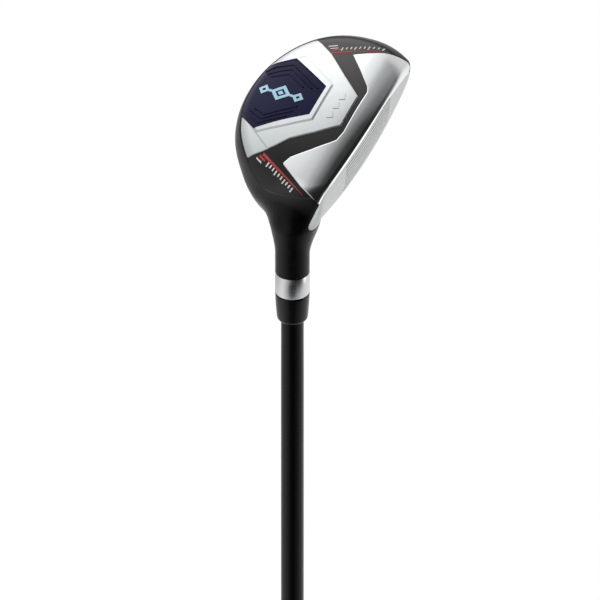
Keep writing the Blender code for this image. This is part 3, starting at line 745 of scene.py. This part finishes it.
def make_shell(source):
    def height(a, b, c):
        low = DARK_ZONE * slope_across(dark_zone(a, b, c), DARK_SLOPE)
        under = UNDER * slope_across(let_in(a, b, c), LET_IN_SLOPE)
        return np.minimum(low, under)
    bends = [(dark_zone, either_side(DARK_SLOPE)), (let_in, either_side(LET_IN_SLOPE))]
    made = relief("painted_shell", source, everywhere, bends, height, None)
    place(made, "black_paint", "head_body")


def make_crown(source):
    def height(a, b, c):
        return chamfer(crown_zone(a, b, c), CROWN_EDGE)
    made = relief("crown_cover", source, crown_zone, [(crown_zone, chamfer_lines(CROWN_EDGE))], height)
    place(made, "crown_paint", "crown_plate")


SCORES, SCORE_PITCH, SCORE_WIDTH, SCORE_DEPTH = 8, 3.6, 0.9, 0.25
SCORE_SIDE = 0.2  # width of a score line's sloping side
SCORE_B = (23.0, 59.0)
SCORE_FOOT = 6.5
ON_FACE = 2.0  # score lines are cut only this near to the face's surface
FACE_EDGE = ((0.15, -0.12),)


def score_lines(a, b, c):
    up = up_face(a, c) - SCORE_FOOT - SCORE_WIDTH / 2
    nearest = np.clip(np.round(up / SCORE_PITCH), 0, SCORES - 1) * SCORE_PITCH
    across = np.abs(up - nearest) - SCORE_WIDTH / 2
    ends = np.abs(b - sum(SCORE_B) / 2) - (SCORE_B[1] - SCORE_B[0]) / 2
    return np.maximum(np.maximum(across, ends), -ON_FACE - face(a, b, c))


def make_face(source):
    def height(a, b, c):
        groove = -SCORE_DEPTH * rise_inside(score_lines(a, b, c), SCORE_SIDE)
        return np.minimum(chamfer(face_zone(a, b, c), FACE_EDGE), groove)
    bends = [(face_zone, chamfer_lines(FACE_EDGE)), (score_lines, (0.0, -SCORE_SIDE))]
    made = relief("brushed_face", source, face_zone, bends, height, FLOOR, 1)
    place(made, "brushed_face", "face_plate")


POLISHED_EDGE = ((0.55, -0.2), (0.2, -0.4))


def make_polished(source):
    def height(a, b, c):
        return chamfer(front_outline(a, b), POLISHED_EDGE)
    bends = [(front_outline, chamfer_lines(POLISHED_EDGE))]
    made = relief("polished_sole", source, polished_zone, bends, height)
    place(made, "polished_steel", "sole_front_plate")


HEEL_RIB = [(45.8, 21.2), (35.4, 15.6)]
TOE_RIB = [(46.0, 62.0), (37.3, 65.9)]
SATIN_EDGE = ((0.6, -0.25), (0.2, -0.35))
BEZEL_RISE, BEZEL_SIDE = 0.32, 0.9
HEEL_FACET, TOE_FACET, RIB_SLOPE = 0.24, 0.14, 0.6


def side_of(start, end):
    """Signed distance to a straight line in the a-b plane, its sign telling the side."""
    way, _ = directions(start, end)

    def field(a, b, c=None):
        return way[0] * (b - start[1]) - way[1] * (a - start[0])
    return field


heel_side = side_of(*HEEL_RIB)
toe_side = side_of(*TOE_RIB)


def make_satin(source):
    def height(a, b, c):
        on_bezel = rise_inside(bezel_outline(a, b), BEZEL_SIDE)
        facets = HEEL_FACET * slope_across(-heel_side(a, b), RIB_SLOPE)
        facets = facets + TOE_FACET * slope_across(toe_side(a, b), RIB_SLOPE)
        return chamfer(rear_zone(a, b, c), SATIN_EDGE) + BEZEL_RISE * on_bezel - facets * (1 - on_bezel)
    bends = [(rear_zone, chamfer_lines(SATIN_EDGE)), (bezel_outline, (0.0, -BEZEL_SIDE)),
             (heel_side, either_side(RIB_SLOPE)), (toe_side, either_side(RIB_SLOPE))]
    made = relief("satin_sole", source, satin_zone, bends, height)
    place(made, "satin_silver", "sole_rear_plate")


CHEVRONS = [[(60.5, 50.2), (56.6, 53.2), (48.7, 56.2), (30.4, 48.2)],
            [(58.2, 49.0), (54.2, 51.2), (47.9, 53.8), (33.0, 47.3)],
            [(55.6, 48.0), (47.5, 51.2), (37.0, 46.6)],
            [(57.0, 28.8), (47.2, 25.4), (36.2, 31.6)],
            [(54.8, 30.2), (46.7, 27.6), (34.8, 34.6)],
            [(53.0, 31.6), (46.4, 29.8), (34.2, 37.2)]]
CHEVRON_HALF, CHEVRON_RISE, CHEVRON_SIDE = 0.52, 0.38, 0.25
BADGE_TOP = -0.25
BADGE_EDGE = ((0.5, -0.25),)
chevrons = union(*[ridge(path, CHEVRON_HALF) for path in CHEVRONS])


def make_badge(source):
    def height(a, b, c):
        ridges = CHEVRON_RISE * rise_inside(chevrons(a, b, c), CHEVRON_SIDE)
        return BADGE_TOP + chamfer(badge_zone(a, b, c), BADGE_EDGE) + ridges
    bends = [(badge_zone, chamfer_lines(BADGE_EDGE)), (chevrons, (0.0, -CHEVRON_SIDE))]
    made = relief("navy_badge", source, badge_zone, bends, height, FLOOR, 2)
    place(made, "navy", "sole_badge")


PATCH_SPACING = 0.25
ROOT_DEPTH = 0.02  # marks start this far below the surface that they stand on


def lifted(a, b, level):
    """Points over places in the a-b plane, on the underside of the head at a level."""
    c = sole(a, b, 0 * a)
    for _ in range(14):
        slope = (skin(a, b, c + PROBE) - skin(a, b, c - PROBE)) / (2 * PROBE)
        c = c - 0.8 * (skin(a, b, c) - level) / np.minimum(slope, -0.25)
    return np.stack([a, b, c], axis=-1)


def patches(name, corners, level, rise, finish, *nodes):
    """Raised marks on the sole, each a four-cornered patch with sides, joined in one piece."""
    points, faces, normals = [], [], []
    start = 0
    for four in corners:
        p = np.array(four, float)
        across = max(np.hypot(*(p[1] - p[0])), np.hypot(*(p[2] - p[3])))
        along = max(np.hypot(*(p[3] - p[0])), np.hypot(*(p[2] - p[1])))
        m, n = [max(2, int(length / PATCH_SPACING)) for length in (across, along)]
        u, v = np.meshgrid(np.linspace(0, 1, m + 1), np.linspace(0, 1, n + 1), indexing="ij")
        where = ((1 - u) * (1 - v))[..., None] * p[0] + (u * (1 - v))[..., None] * p[1] \
            + (u * v)[..., None] * p[2] + ((1 - u) * v)[..., None] * p[3]
        flat = where.reshape(-1, 2)
        base = lifted(flat[:, 0], flat[:, 1], level)
        normal = outward(base)
        top = base + normal * rise
        count = len(base)
        index = np.arange(count).reshape(m + 1, n + 1)
        quad = np.stack([index[:-1, :-1], index[1:, :-1], index[1:, 1:], index[:-1, 1:]], axis=-1)
        quad = quad.reshape(-1, 4)
        if (face_normals(top, quad) * normal[quad[:, 0]]).sum() < 0:
            quad = quad[:, ::-1]
        rim = open_sides(quad, count)
        wall = np.stack([rim[:, 1], rim[:, 0], rim[:, 0] + count, rim[:, 1] + count], axis=1)
        both_layers = np.concatenate([top, base])
        wall_normal = np.repeat(face_normals(both_layers, wall)[:, None, :], 4, axis=1)
        points.append(both_layers)
        faces.append(np.concatenate([quad, quad[:, ::-1] + count, wall]) + start)
        normals.append(np.concatenate([normal[quad], -normal[quad[:, ::-1]], wall_normal]))
        start += 2 * count
    made = mesh_object(name, np.concatenate(points), np.concatenate(faces), np.concatenate(normals))
    place(made, finish, *nodes)


def bar(start, end, start_half, end_half=None, lean=0.0):
    """Corners of a straight bar, its ends cut at a lean."""
    start, end = np.array(start, float), np.array(end, float)
    way, side = directions(start, end)
    end_half = start_half if end_half is None else end_half
    at_start = side * start_half + way * lean * start_half
    at_end = side * end_half + way * lean * end_half
    return [start - at_start, start + at_start, end + at_end, end - at_end]


LONG_EVERY, SHORT_TICK = 3, 0.72


def tick_row(start, end, count, half_length, half_width, lean):
    """Short strokes spaced evenly along a line, every third one longer."""
    start, end = np.array(start, float), np.array(end, float)
    way, side = directions(start, end)
    stroke = side + lean * way
    ticks = []
    for i in range(count):
        middle = start + (end - start) * i / (count - 1)
        half = half_length * (1.0 if i % LONG_EVERY == 0 else SHORT_TICK)
        foot = middle - stroke * half_length
        ticks.append(bar(foot, foot + stroke * 2 * half, half_width))
    return ticks


PAINT_RISE = 0.10


def make_marks():
    """Red stripes and white ticks on the low paint, by the heel and by the toe."""
    on_paint = DARK_ZONE + SKIN - ROOT_DEPTH
    red = [bar((36.0, 13.0), (9.9, 2.6), 0.62, 0.12, 0.6),
           bar((37.2, 11.9), (33.4, 10.3), 0.42, 0.36, 0.8),
           bar((36.2, 66.7), (15.9, 76.2), 0.34, 0.14),
           bar((36.6, 68.2), (33.2, 69.8), 0.36, 0.36, -0.5)]
    patches("red_stripes", red, on_paint, PAINT_RISE, "red")
    white = [bar((38.0, 10.6), (34.6, 9.1), 0.30, 0.30, 0.8),
             bar((39.8, 69.6), (36.0, 71.3), 0.28, 0.28, -0.5),
             bar((38.2, 68.7), (35.0, 70.2), 0.22, 0.22, -0.5)]
    white += tick_row((31.4, 9.3), (15.4, 2.7), 10, 1.05, 0.36, 0.25)
    white += tick_row((33.0, 70.2), (17.6, 77.4), 10, 0.85, 0.28, -0.3)
    patches("white_ticks", white, on_paint, PAINT_RISE, "white")


EMBOSSED_B = (48.4, 43.6, 38.8)
EMBOSSED_A = (17.0, 19.3)
EMBOSSED_LEAN, EMBOSSED_HALF = 0.6, 1.5
EMBOSSED_ROOT, EMBOSSED_RISE = 0.03, 0.28


def make_embossed_bars():
    """Three small raised bars on the satin land."""
    front, back = EMBOSSED_A
    parts = [bar((front, b + EMBOSSED_LEAN), (back, b - EMBOSSED_LEAN), EMBOSSED_HALF) for b in EMBOSSED_B]
    patches("embossed_bars", parts, SKIN - EMBOSSED_ROOT, EMBOSSED_RISE, "satin_silver")


EMBLEM_A, EMBLEM_B, EMBLEM_RISE = 45.2, 41.2, 0.30
SMALL_AT = 9.2  # the small lozenges lie this far to each side of the large one
LARGE, SMALL = (5.4, 3.9, 0.55), (3.0, 2.4, 0.35)  # half length, half width, and the opening's share
CORE = (1.6, 1.1)
LINK = (5.1, 6.5, 0.55)  # from, to and half width of the bars that join them


def lozenge(middle, half_a, half_b):
    return [(middle - half_a, EMBLEM_B), (middle, EMBLEM_B + half_b),
            (middle + half_a, EMBLEM_B), (middle, EMBLEM_B - half_b)]


def make_emblem():
    """Three joined open lozenges, the middle one with a solid core."""
    parts = []
    for shift, (half_a, half_b, share) in ((0.0, LARGE), (SMALL_AT, SMALL), (-SMALL_AT, SMALL)):
        outer_ring = lozenge(EMBLEM_A + shift, half_a, half_b)
        inner_ring = lozenge(EMBLEM_A + shift, half_a * share, half_b * share)
        for k in range(4):
            j = (k + 1) % 4
            parts.append([outer_ring[k], outer_ring[j], inner_ring[j], inner_ring[k]])
    parts.append(lozenge(EMBLEM_A, *CORE))
    near, far, half = LINK
    for way in (1, -1):
        parts.append(bar((EMBLEM_A + way * near, EMBLEM_B), (EMBLEM_A + way * far, EMBLEM_B), half))
    level = BADGE_TOP + SKIN - ROOT_DEPTH
    patches("badge_mark", parts, level, EMBLEM_RISE, "pale_blue", "badge_emblem")


# ---- shaft, fittings and grip ----

def turned(name, profile, sides, dent=None):
    """A profile of z and radius turned about the shaft's axis. It either closes on itself or has both
    ends on the axis. dent(z, turn) is taken off the radius."""
    profile = np.array(profile, float)
    turn = np.arange(sides) / sides * 2 * pi
    z = np.repeat(profile[:, :1], sides, axis=1)
    radius = np.repeat(profile[:, 1:2], sides, axis=1)
    if dent:
        radius = radius - dent(z, turn[None, :]) * (radius > 1.0)
    points = np.stack([radius * np.cos(turn), radius * np.sin(turn), z], axis=-1).reshape(-1, 3)
    index = np.arange(len(points)).reshape(len(profile), sides)
    after = np.roll(index, -1, axis=1)
    faces = np.stack([index[:-1], after[:-1], after[1:], index[1:]], axis=-1).reshape(-1, 4)
    made = mesh_object(name, points, faces)
    bm = bmesh.new()
    bm.from_mesh(made.data)
    bmesh.ops.remove_doubles(bm, verts=bm.verts, dist=1e-7)
    bmesh.ops.dissolve_degenerate(bm, dist=1e-7, edges=bm.edges)
    bmesh.ops.recalc_face_normals(bm, faces=bm.faces)
    bm.to_mesh(made.data)
    bm.free()
    made.data.shade_smooth()
    made.data.set_sharp_from_angle(angle=radians(32))
    return made


TIP_ALONG, RING_ALONG, FERRULE_ALONG = 19.6, 46.2, 59.3  # from the ground, along the axis
SHAFT_BUTT = 4.6  # z of the shaft's lower end, inside the grip
SHAFT_Z = (SHAFT_BUTT, 267.0, 800.0, 925.0)
SHAFT_R = (7.5, 6.7, 4.92, 4.75)
TIP_R = 4.7  # beyond the last of those places
JOINT_GAP = 0.15
SIDES = 96


def at(along):
    return GROUND_Z - along


def make_shaft():
    tip = at(TIP_ALONG)
    stations = np.linspace(tip - 0.3, SHAFT_BUTT, 60)
    radii = np.where(stations > SHAFT_Z[-1], TIP_R, np.interp(stations, SHAFT_Z, SHAFT_R))
    profile = [(tip, 4.4), *zip(stations, radii), (SHAFT_BUTT, 6.3), (tip, 3.5), (tip, 4.4)]
    made = turned("lacquered_shaft", profile, SIDES)
    place(made, "shaft_gloss", "shaft")


def make_ring():
    top, foot = at(HOSEL_END) - JOINT_GAP, at(RING_ALONG) + 0.05
    bore, edge = 6.3, 0.25
    bevel = ((0.0, edge), (edge * 0.3, edge * 0.3), (edge, 0.0))
    upper = [(top - down, HOSEL_R - inwards) for down, inwards in bevel]
    lower = [(foot + up, HOSEL_R - inwards) for up, inwards in reversed(bevel)]
    made = turned("spun_ring", [(top, bore), *upper, *lower, (foot, bore), (top, bore)], SIDES)
    place(made, "ring_metal", "hosel_ring")


def make_ferrule():
    top, foot = at(RING_ALONG) - JOINT_GAP, at(FERRULE_ALONG)
    bore, nose_length = 5.0, 1.6
    barrel_length = top - foot - nose_length
    barrel = [(top - t * barrel_length, 7.05 - 0.62 * t ** 1.6) for t in np.linspace(0.03, 1, 16)]
    nose = [(foot + nose_length * (1 - sin(t)), 5.15 + 1.28 * cos(t)) for t in np.linspace(0.15, pi / 2, 8)]
    profile = [(top, bore), (top, 6.85), *barrel, *nose, (foot, bore), (top, bore)]
    made = turned("tapered_ferrule", profile, SIDES)
    place(made, "ferrule_plastic", "ferrule")


GRIP_END = 267.0
PATTERN_Z = (26.0, 244.0)
PLAIN_BANDS, PLAIN_HALF = 54.5, 3.0  # spacing and half width of the plain bands
SPIRALS, SPIRAL_RISE, SPIRAL_HALF = 14.0, 5.4, 0.16
SPIRAL_DEPTH, RING_DEPTH, BUTT_RING_DEPTH = 0.42, 0.35, 0.30
GRIP_R, GRIP_SWELL, GRIP_FLARE = 9.6, 3.2, 0.55  # at the mouth, more towards the butt, more at the butt
GRIP_ROWS, GRIP_SIDES = ((430, 168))


def fine_rings(z, low, high, origin, pitch, half):
    """1 in the middle of each of a row of fine rings between two heights."""
    near = np.abs((z - origin) % pitch - pitch / 2) / half
    return np.clip(1.0 - near, 0, 1) * (z > low) * (z < high)


def grip_pattern(z, turn):
    """Depth of the moulded pattern: crossed spiral grooves between plain bands, and fine rings."""
    low, high = PATTERN_Z
    inside = np.clip((z - low) / 2.0, 0, 1) * np.clip((high - z) / 2.0, 0, 1)
    band = np.clip(np.abs((z - low) % PLAIN_BANDS - PLAIN_BANDS / 2) - PLAIN_HALF, 0, 1.0)
    phase = SPIRALS * turn / (2 * pi)
    crossed = 0
    for lean in (-1, 1):
        wave = (phase + lean * z / SPIRAL_RISE) % 1.0
        crossed = np.maximum(crossed, np.clip(1.0 - np.abs(wave - 0.5) / SPIRAL_HALF, 0, 1))
    rings = fine_rings(z, 246.0, 262.0, 248.0, 4.0, 0.6)
    butt = fine_rings(z, 9.0, 23.0, 8.0, 3.6, 0.5)
    return SPIRAL_DEPTH * crossed * inside * band + RING_DEPTH * rings + BUTT_RING_DEPTH * butt


def make_grip():
    z = np.linspace(GRIP_END - 0.8, 5.0, GRIP_ROWS)
    radius = GRIP_R + GRIP_SWELL * np.clip(1 - z / GRIP_END, 0, 1) ** 1.5
    radius = radius + GRIP_FLARE * np.clip((14.0 - z) / 9.0, 0, 1) ** 1.5
    inside = [(4.2, 0.0), (4.2, 8.2)]
    mouth = [(GRIP_END, 7.6), (GRIP_END, 8.9), (GRIP_END - 0.3, 9.4)]
    butt = [(3.0, 13.3), (1.5, 13.1), (0.6, 12.6), (0.15, 11.9), (0.0, 11.2), (0.0, 8.3), (1.5, 8.3),
            (1.5, 0.0)]
    made = turned("moulded_grip", [*inside, *mouth, *zip(z, radius), *butt], GRIP_SIDES, grip_pattern)
    place(made, "grip_rubber", "grip_sleeve")


def make_cap():
    """The cap's end, with two raised rings round a shallow middle."""
    profile = [(1.2, 0.0), (1.2, 8.0), (0.35, 8.0), (0.0, 7.65), (0.0, 6.3), (0.35, 6.1), (0.35, 5.4),
               (0.0, 5.2), (0.0, 2.2), (0.45, 1.9), (0.45, 0.0)]
    place(turned("ringed_cap", profile, 64), "cap_rubber", "grip_cap")


INNER = {"badge_tape": "foam", "rear_weight": "dark_weight", "toe_weight": "dark_weight",
         "heel_weight": "dark_weight", "damping_glue": "hot_melt", "tip_pin": "brass",
         "shaft_epoxy": "epoxy", "grip_tape": "paper_tape"}


def finish_inner_nodes():
    for node, look in INNER.items():
        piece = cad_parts[node]
        piece.data.materials.clear()
        piece.data.materials.append(LOOKS[look])


# ---- studio and camera ----

def math_node(tree, operation, first, second=None):
    made = tree.nodes.new("ShaderNodeMath")
    made.operation = operation
    for socket, value in zip(made.inputs, (first, second)):
        if hasattr(value, "links"):
            tree.links.new(value, socket)
        elif value is not None:
            socket.default_value = value
    return made.outputs[0]


def lobe(tree, direction, stops):
    """Brightness by the angle from a direction: stops of degrees and value."""
    where = tree.nodes.new("ShaderNodeTexCoord").outputs["Generated"]
    product = tree.nodes.new("ShaderNodeVectorMath")
    product.operation = "DOT_PRODUCT"
    tree.links.new(where, product.inputs[0])
    product.inputs[1].default_value = Vector(direction).normalized()
    clamped = math_node(tree, "MINIMUM", math_node(tree, "MAXIMUM", product.outputs["Value"], -1.0), 1.0)
    angle = math_node(tree, "DIVIDE", math_node(tree, "ARCCOSINE", clamped), pi)
    ramp = tree.nodes.new("ShaderNodeValToRGB")
    ramp.color_ramp.interpolation = "EASE"
    peak = max(value for _, value in stops)
    elements = ramp.color_ramp.elements
    for k, (degrees, value) in enumerate(stops):
        element = elements[k] if k < 2 else elements.new(degrees / 180)
        element.position = degrees / 180
        element.color = (value / peak,) * 3 + (1,)
    tree.links.new(angle, ramp.inputs["Fac"])
    return math_node(tree, "MULTIPLY", ramp.outputs["Color"], peak)


# a direction, then stops of degrees from it and brightness
MAIN_LIGHT = (0.30, 0.66, 0.69), [(0, 1.85), (14, 1.65), (30, 1.15), (48, 0.80), (75, 0.80), (102, 1.15),
                                  (180, 0.90)]
DARK_SIDE = (-0.25, -0.85, 0.46), [(0, 0.01), (30, 0.02), (43, 0.06), (52, 0.26), (60, 0.56), (72, 0.93),
                                   (86, 1.0)]
LOW_DARK_SIDE = (-0.68, -0.50, -0.54), [(0, 0.04), (14, 0.10), (34, 0.62), (55, 1.0), (180, 1.0)]
EDGE_LIGHT = (0.50, -0.86, -0.12), [(0, 1.7), (9, 1.4), (21, 0.0), (180, 0.0)]


def make_studio():
    """Soft light from behind the head and above, dark towards the viewer, with a low strip of light."""
    world = bpy.data.worlds.new("studio")
    bpy.context.scene.world = world
    world.use_nodes = True
    tree = world.node_tree
    tree.nodes.clear()
    main = lobe(tree, *MAIN_LIGHT)
    strip = lobe(tree, *EDGE_LIGHT)
    shade = math_node(tree, "MULTIPLY", lobe(tree, *DARK_SIDE), lobe(tree, *LOW_DARK_SIDE))
    light = math_node(tree, "ADD", math_node(tree, "MULTIPLY", main, shade), strip)
    seen = tree.nodes.new("ShaderNodeLightPath").outputs["Is Camera Ray"]
    blend = tree.nodes.new("ShaderNodeMix")
    tree.links.new(seen, blend.inputs["Factor"])
    tree.links.new(light, blend.inputs["A"])
    blend.inputs["B"].default_value = 1.0
    background = tree.nodes.new("ShaderNodeBackground")
    background.inputs["Color"].default_value = (1, 1, 1, 1)
    tree.links.new(blend.outputs["Result"], background.inputs["Strength"])
    output = tree.nodes.new("ShaderNodeOutputWorld")
    tree.links.new(background.outputs["Background"], output.inputs["Surface"])


FLOOR_RADIUS = 0.42  # metres
FLOOR_Z = -0.0005
FLOOR_SIDES = 96


def make_floor():
    """A pale round table top under the butt of the grip."""
    turns = np.arange(FLOOR_SIDES) / FLOOR_SIDES * 2 * pi
    rim = [(FLOOR_RADIUS * cos(t), FLOOR_RADIUS * sin(t), FLOOR_Z) for t in turns]
    mesh = bpy.data.meshes.new("floor")
    mesh.from_pydata(rim, [], [list(range(FLOOR_SIDES))])
    made = new_object("floor", mesh)
    pale = Look("floor", "pale_floor", (0.90, 0.90, 0.90), 0.6, Emission_Color=(1, 1, 1, 1),
                Emission_Strength=0.35)
    pale.vary_roughness(pale.noise(40.0), 0.05)
    mesh.materials.append(pale.made)


CAMERA_FROM = (32.5, 216.5)  # elevation and azimuth of the camera, degrees
CAMERA_FAR = 1.5  # metres from the hosel's end
AIM_TURN = (-0.00206, 0.00798)  # tangents: the hosel's end lies this far right of and above the middle
SENSOR, FOCAL = 36.0, 221.13  # millimetres


def make_camera():
    target = Vector((0, 0, at(HOSEL_END) * MM))
    elevation, azimuth = (radians(angle) for angle in CAMERA_FROM)
    away = Vector((cos(elevation) * cos(azimuth), cos(elevation) * sin(azimuth), sin(elevation)))
    right = (-away).cross(Vector((0, 0, 1))).normalized()
    up = right.cross(-away)
    forward = (-away - AIM_TURN[0] * right - AIM_TURN[1] * up).normalized()
    right = forward.cross(up).normalized()
    up = right.cross(forward)
    camera = new_object("camera", bpy.data.cameras.new("camera"))
    turn = Matrix((right, up, -forward)).transposed().to_4x4()
    camera.matrix_world = Matrix.Translation(target + CAMERA_FAR * away) @ turn
    camera.data.sensor_width = SENSOR
    camera.data.lens = FOCAL
    camera.data.clip_end = 20.0
    bpy.context.scene.camera = camera


skin_mesh = head_skin()
make_shell(skin_mesh)
make_crown(skin_mesh)
make_face(skin_mesh)
make_polished(skin_mesh)
make_satin(skin_mesh)
make_badge(skin_mesh)
make_marks()
make_emblem()
make_embossed_bars()
make_shaft()
make_ring()
make_ferrule()
make_grip()
make_cap()
finish_inner_nodes()
make_studio()
make_floor()
make_camera()
bpy.context.scene.view_settings.view_transform = "Standard"
